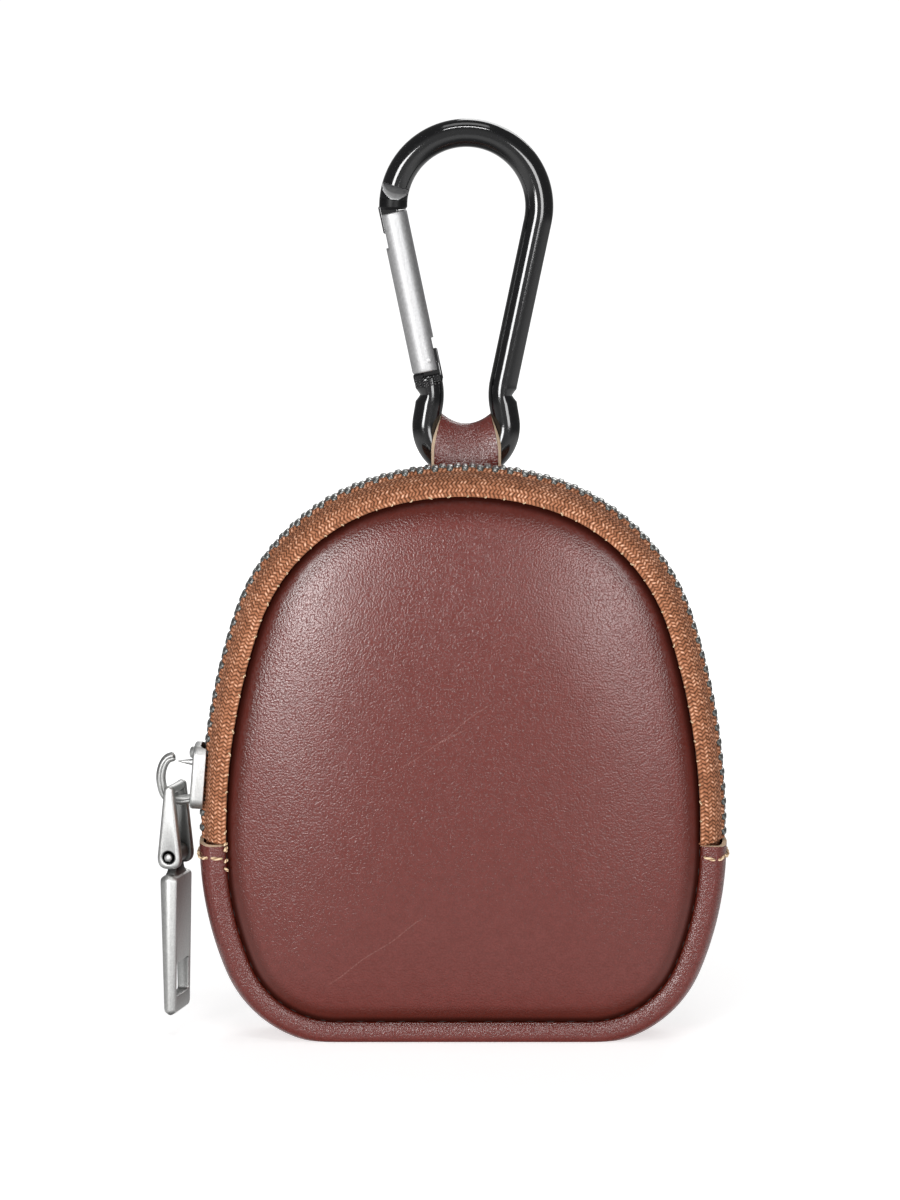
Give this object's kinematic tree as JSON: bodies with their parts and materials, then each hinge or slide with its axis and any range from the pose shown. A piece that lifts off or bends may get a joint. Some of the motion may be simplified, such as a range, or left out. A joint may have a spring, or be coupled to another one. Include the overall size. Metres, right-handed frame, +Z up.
{
  "type": "wallet pouch",
  "caption": "Small rounded leather pouch with padded panels, a gusset round the base and a metal zip round the top, hung from a snap hook by a leather strap.",
  "frame": {"origin": "middle of the flat base that the pouch stands on", "axes": "+Z up, +X to the right of the front panel with the zip pull at -X, +Y from the front panel to the back panel"},
  "size_m": [0.0914, 0.0254, 0.1465],
  "materials": {
    "body_leather": "waxed, semi-gloss, fine grain",
    "zip_cloth": "twill tape",
    "zip_metal": "dark plated",
    "pull_metal": "dark nickel, polished",
    "clip_black": "black, glossy",
    "clip_bare": "satin"
  },
  "bodies": {
    "pouch": {"front_panel": "body_leather", "back_panel": "body_leather", "gusset": "body_leather", "hang_strap": "body_leather", "zip_tape_front": "zip_cloth", "zip_tape_back": "zip_cloth", "zip_teeth_front": "zip_metal", "zip_teeth_back": "zip_metal", "zip_slider": "pull_metal", "clip_frame": "clip_black", "clip_pin": "clip_bare"},
    "gate": {"clip_gate": "clip_bare"},
    "link": {"pull_link": "pull_metal", "pull_pin": "pull_metal"},
    "tab": {"pull_tab": "pull_metal"}
  },
  "joints": [
    {"name": "gate_hinge", "type": "hinge", "parent": "pouch", "child": "gate", "pos_m": [-0.00567, 0.0109, 0.10806], "axis": [0, 1, 0], "range_deg": [0, 40], "stiffness_Nm_per_rad": 0.02, "springref_deg": -17.19},
    {"name": "link_swing", "type": "hinge", "parent": "pouch", "child": "link", "pos_m": [-0.04615, 0, 0.04016], "axis": [0.2419, 0.9703, 0], "range_deg": [-4, 110]},
    {"name": "tab_hinge", "type": "hinge", "parent": "link", "child": "tab", "pos_m": [-0.04615, 0, 0.02946], "axis": [0.2419, 0.9703, 0], "range_deg": [-4, 60]}
  ]
}
